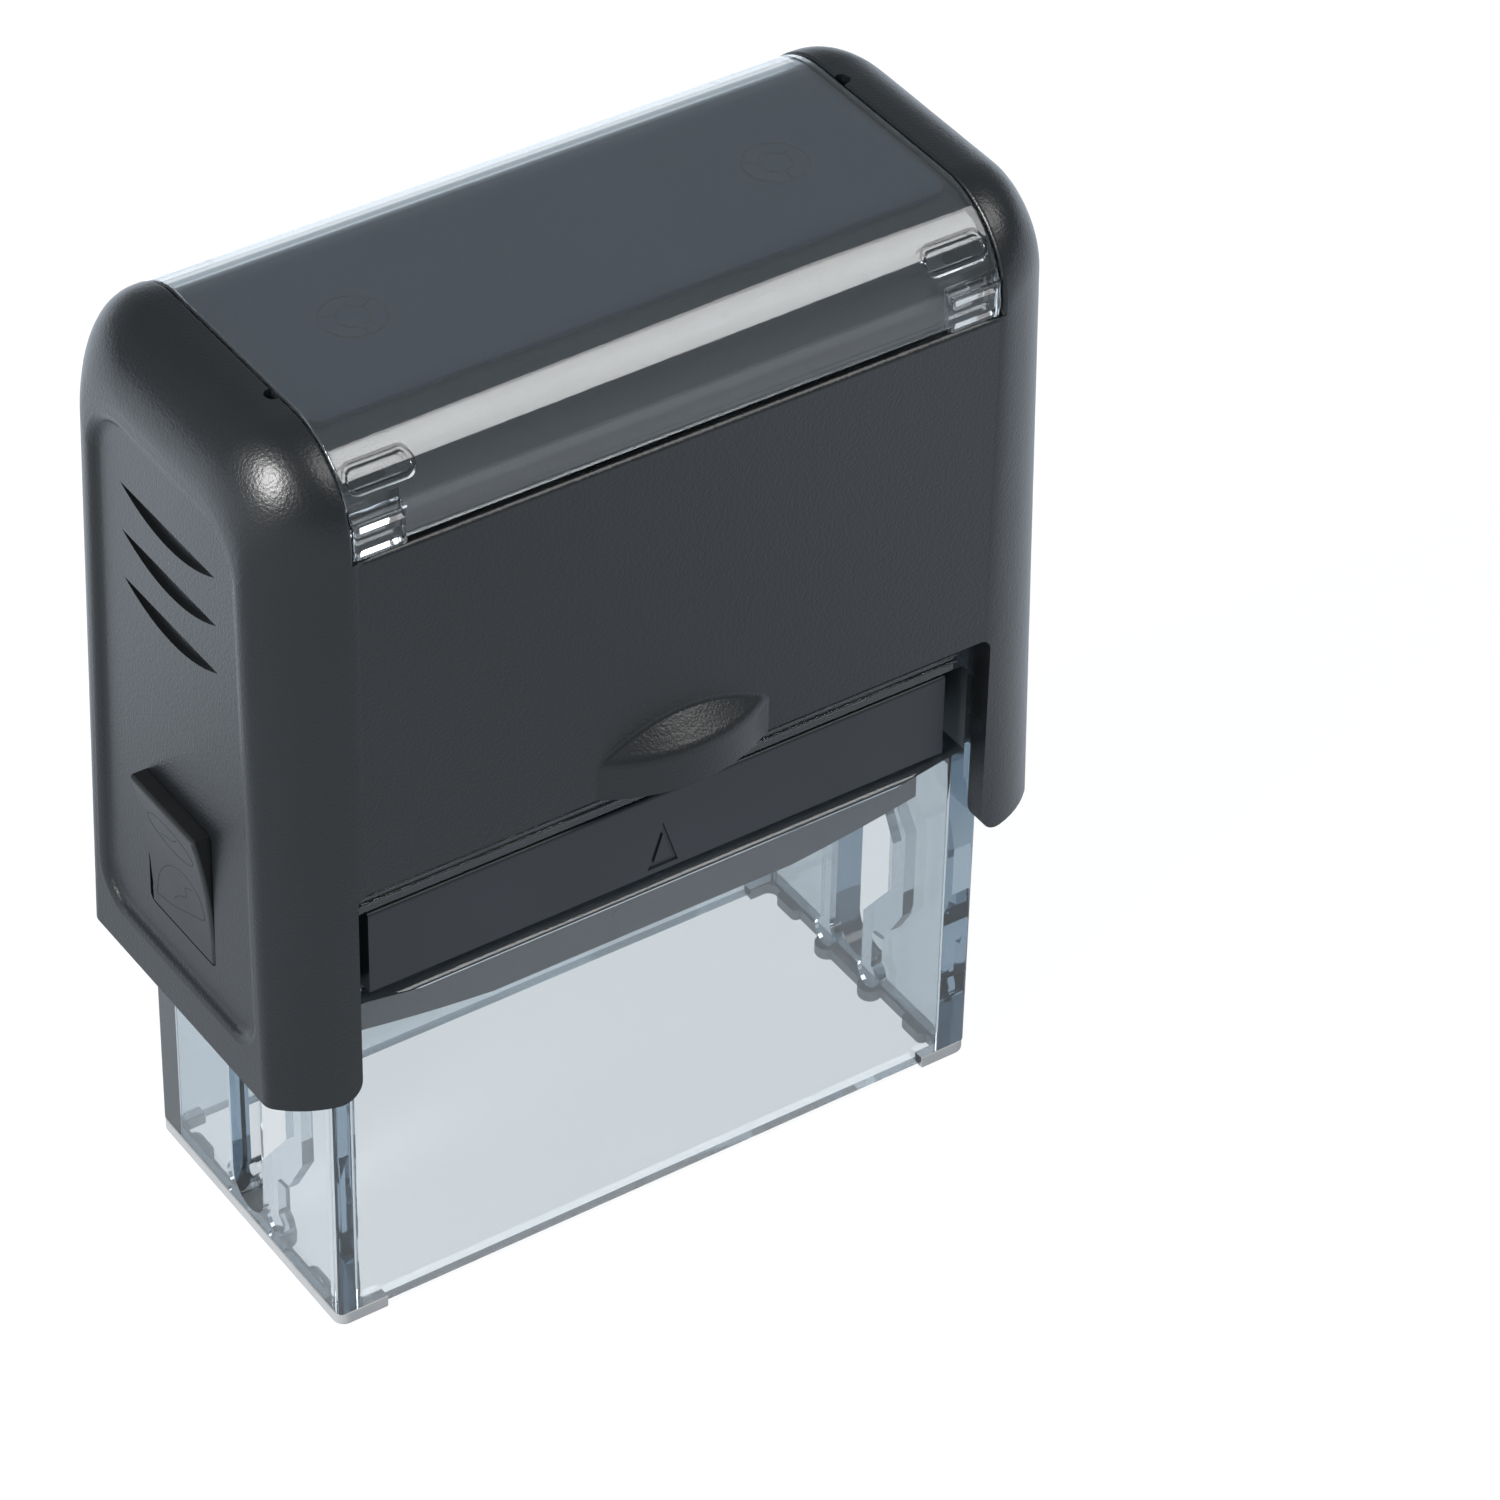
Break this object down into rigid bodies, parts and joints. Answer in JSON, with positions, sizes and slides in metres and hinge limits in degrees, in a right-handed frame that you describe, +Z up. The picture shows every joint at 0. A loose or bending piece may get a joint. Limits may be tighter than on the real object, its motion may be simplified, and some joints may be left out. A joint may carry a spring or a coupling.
{
  "type": "self inking stamp",
  "caption": "Self-inking stamp: a black spring-loaded cap slides over a clear base frame and turns its rubber die from the ink pad to the paper; clear index window, end lock buttons.",
  "frame": {"origin": "centre of the footprint, on the plane the feet stand on", "axes": "+Z up, +X along the length, -Y is the front with the tray's arrow"},
  "size_m": [0.0642, 0.0328, 0.0757],
  "materials": {
    "clear_plastic": "clear, faintly blue-grey, polished",
    "clear_window": "clear, polished",
    "frosted_foot": "translucent soft plastic, frosted",
    "tray_black": "fine satin",
    "ink_felt": "felt soaked with red ink",
    "casing_black": "finely textured matte",
    "card_dark": "smooth satin",
    "chassis_black": "plain moulded",
    "spring_steel": "drawn wire",
    "steel": "ground",
    "button_black": "finely textured matte",
    "carrier_grey": "satin",
    "foam": "closed-cell foam",
    "die_rubber": "laser-cut rubber stained with ink",
    "bush_white": "plain slippery plastic"
  },
  "bodies": {
    "base": {"base_frame": "clear_plastic", "foot_left": "frosted_foot", "foot_right": "frosted_foot", "pad_tray": "tray_black", "ink_pad": "ink_felt"},
    "cap": {"casing": "casing_black", "index_card": "card_dark", "axle": "steel", "spring_guide_left": "chassis_black", "spring_guide_right": "chassis_black", "return_spring_left": "spring_steel", "return_spring_right": "spring_steel"},
    "window": {"index_window": "clear_window"},
    "lock_left": {"lock_button_left": "button_black"},
    "lock_right": {"lock_button_right": "button_black"},
    "die": {"die_carrier": "carrier_grey", "die_cushion": "foam", "text_plate": "die_rubber", "hub_bush_left": "bush_white", "hub_bush_right": "bush_white", "cam_pin_left": "steel", "cam_pin_right": "steel"}
  },
  "joints": [
    {"name": "press", "type": "slide", "parent": "base", "child": "cap", "axis": [0, 0, -1], "range_m": [0, 0.0214], "stiffness_N_per_m": 400, "springref_m": -0.01, "deforming": ["return_spring_left", "return_spring_right"]},
    {"name": "die_flip", "type": "hinge", "parent": "cap", "child": "die", "pos_m": [0, 0, 0.0254], "axis": [-1, 0, 0], "range_deg": [0, 180]},
    {"name": "lock_left_push", "type": "slide", "parent": "cap", "child": "lock_left", "axis": [1, 0, 0], "range_m": [0, 0.0011], "stiffness_N_per_m": 300, "springref_m": -0.002},
    {"name": "lock_right_push", "type": "slide", "parent": "cap", "child": "lock_right", "axis": [-1, 0, 0], "range_m": [0, 0.0011], "stiffness_N_per_m": 300, "springref_m": -0.002},
    {"name": "window_lift", "type": "slide", "parent": "cap", "child": "window", "axis": [0, 0, 1], "range_m": [0, 0.008]}
  ],
  "couplings": [
    {"joint": "die_flip", "follows": "press", "rad_per_m": 146.8}
  ]
}
